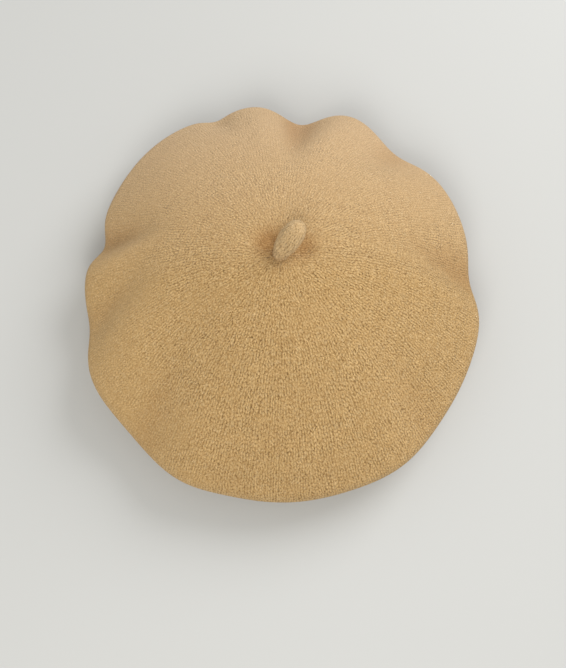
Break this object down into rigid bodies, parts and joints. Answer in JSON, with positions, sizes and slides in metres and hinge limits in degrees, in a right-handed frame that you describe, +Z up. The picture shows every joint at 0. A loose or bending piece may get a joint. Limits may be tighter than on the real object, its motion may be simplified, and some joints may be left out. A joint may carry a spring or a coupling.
{
  "type": "stemmed beret",
  "caption": "Round felted wool beret with a short knitted stalk at the crown, a turned-in hem, a leather sweatband and a satin lining.",
  "frame": {"origin": "centre of the head opening, at the lower edge of the sweatband; the beret stands on this plane", "axes": "+Z up through the crown, +Y to the front of the beret (the crown leans that way), -Y to the back, where the sweatband's ends meet, +X to the wearer's right"},
  "size_m": [0.26, 0.26, 0.1111],
  "materials": {
    "camel_felt": "felted wool knit",
    "camel_knit": "wool knit",
    "camel_yarn": "wool yarn",
    "brown_leather": "smooth thin leather",
    "satin": "satin weave",
    "sewing_thread": "twisted thread",
    "cotton_tape": "woven tape",
    "label_tape": "blank woven tape"
  },
  "bodies": {
    "beret": {"crown_felt": "camel_felt", "closing_seam_yarn": "camel_yarn", "stem_knot": "camel_yarn", "stem_tack_stitches": "sewing_thread", "sweatband": "brown_leather", "sweatband_join_tape": "cotton_tape", "sweatband_join_stitches": "sewing_thread", "sweatband_hem_stitches": "sewing_thread", "lining_tip": "satin", "lining_side": "satin", "lining_seam_stitches": "sewing_thread", "care_label_stitches": "sewing_thread"},
    "stem_root": {"stem_core_yarn": "camel_yarn"},
    "stem": {"stem": "camel_knit"},
    "care_label": {"care_label": "label_tape"}
  },
  "joints": [
    {"name": "stem_nod", "type": "hinge", "parent": "beret", "child": "stem_root", "pos_m": [0, 0.014, 0.0938], "axis": [1, 0, 0], "range_deg": [-5, 85], "stiffness_Nm_per_rad": 0.005},
    {"name": "stem_sway", "type": "hinge", "parent": "stem_root", "child": "stem", "pos_m": [0, 0.014, 0.0938], "axis": [0, 1, 0], "range_deg": [-80, 5], "stiffness_Nm_per_rad": 0.005},
    {"name": "care_label_fold", "type": "hinge", "parent": "beret", "child": "care_label", "pos_m": [0, -0.0907, 0.0264], "axis": [-1, 0, 0], "range_deg": [0, 185]}
  ]
}
